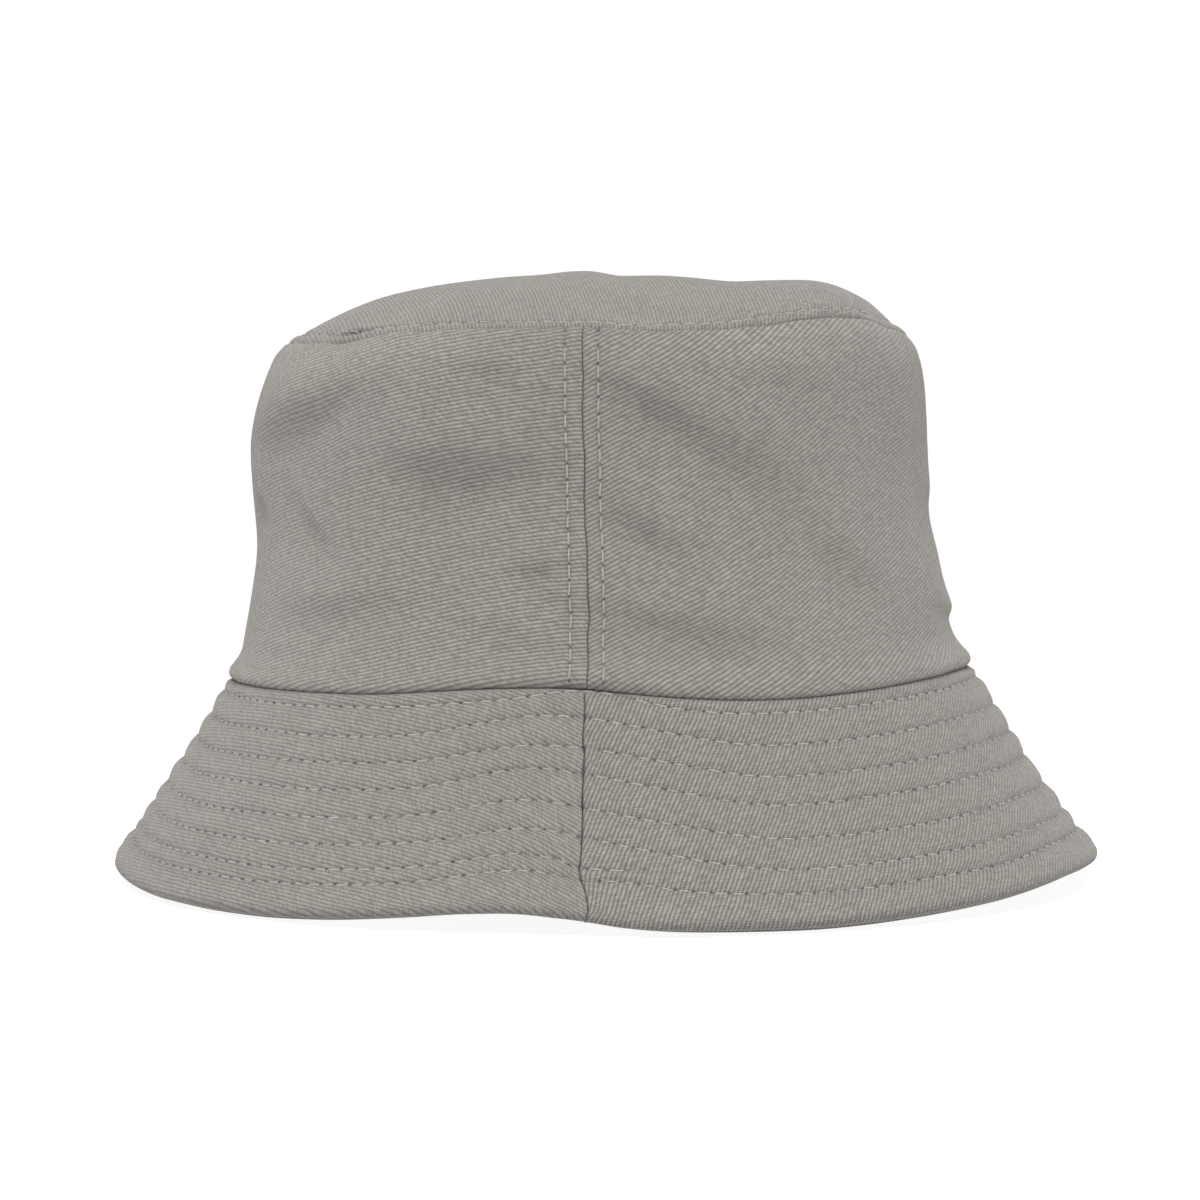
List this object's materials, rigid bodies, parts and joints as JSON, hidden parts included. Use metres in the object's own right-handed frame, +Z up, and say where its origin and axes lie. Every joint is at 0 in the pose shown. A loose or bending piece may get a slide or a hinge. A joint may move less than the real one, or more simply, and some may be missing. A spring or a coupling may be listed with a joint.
{
  "type": "bucket hat",
  "caption": "Soft cotton twill bucket hat with an oval top, seamed crown, quilted downturned brim, inner sweatband and a small hanging care label.",
  "frame": {"origin": "on the plane of the brim's rim, under the middle of the hat", "axes": "+X to the front of the hat, +Y to the wearer's left, +Z up; the side seams are at -Y and +Y"},
  "size_m": [0.26, 0.2282, 0.16],
  "materials": {
    "twill": "matte cotton twill, taupe grey",
    "twill_under": "matte cotton twill, taupe grey, underside of the brim",
    "interlining": "stiff off-white woven interlining",
    "sweatband": "matte cotton twill band, folded double",
    "seam_tape": "plain weave cotton tape",
    "thread": "spun polyester sewing thread",
    "label": "blank white woven satin"
  },
  "bodies": {
    "hat": {"top_panel": "twill", "crown_panel_front": "twill", "crown_panel_back": "twill", "brim_upper_front": "twill", "brim_upper_back": "twill", "brim_interlining_front": "interlining", "brim_interlining_back": "interlining", "brim_under_front": "twill_under", "brim_under_back": "twill_under", "sweatband": "sweatband", "top_seam_tape": "seam_tape", "side_seam_tape_right": "seam_tape", "side_seam_tape_left": "seam_tape", "brim_quilting_thread": "thread", "brim_bobbin_thread": "thread", "brim_join_topstitch": "thread", "top_panel_topstitch": "thread", "side_seam_topstitch_right": "thread", "side_seam_topstitch_left": "thread", "sweatband_hem_stitch": "thread"},
    "label": {"care_label": "label"}
  },
  "joints": [
    {"name": "label_swing", "type": "hinge", "parent": "hat", "child": "label", "pos_m": [-0.0859, 0, 0.087], "axis": [0, -1, 0], "range_deg": [0, 160]}
  ]
}
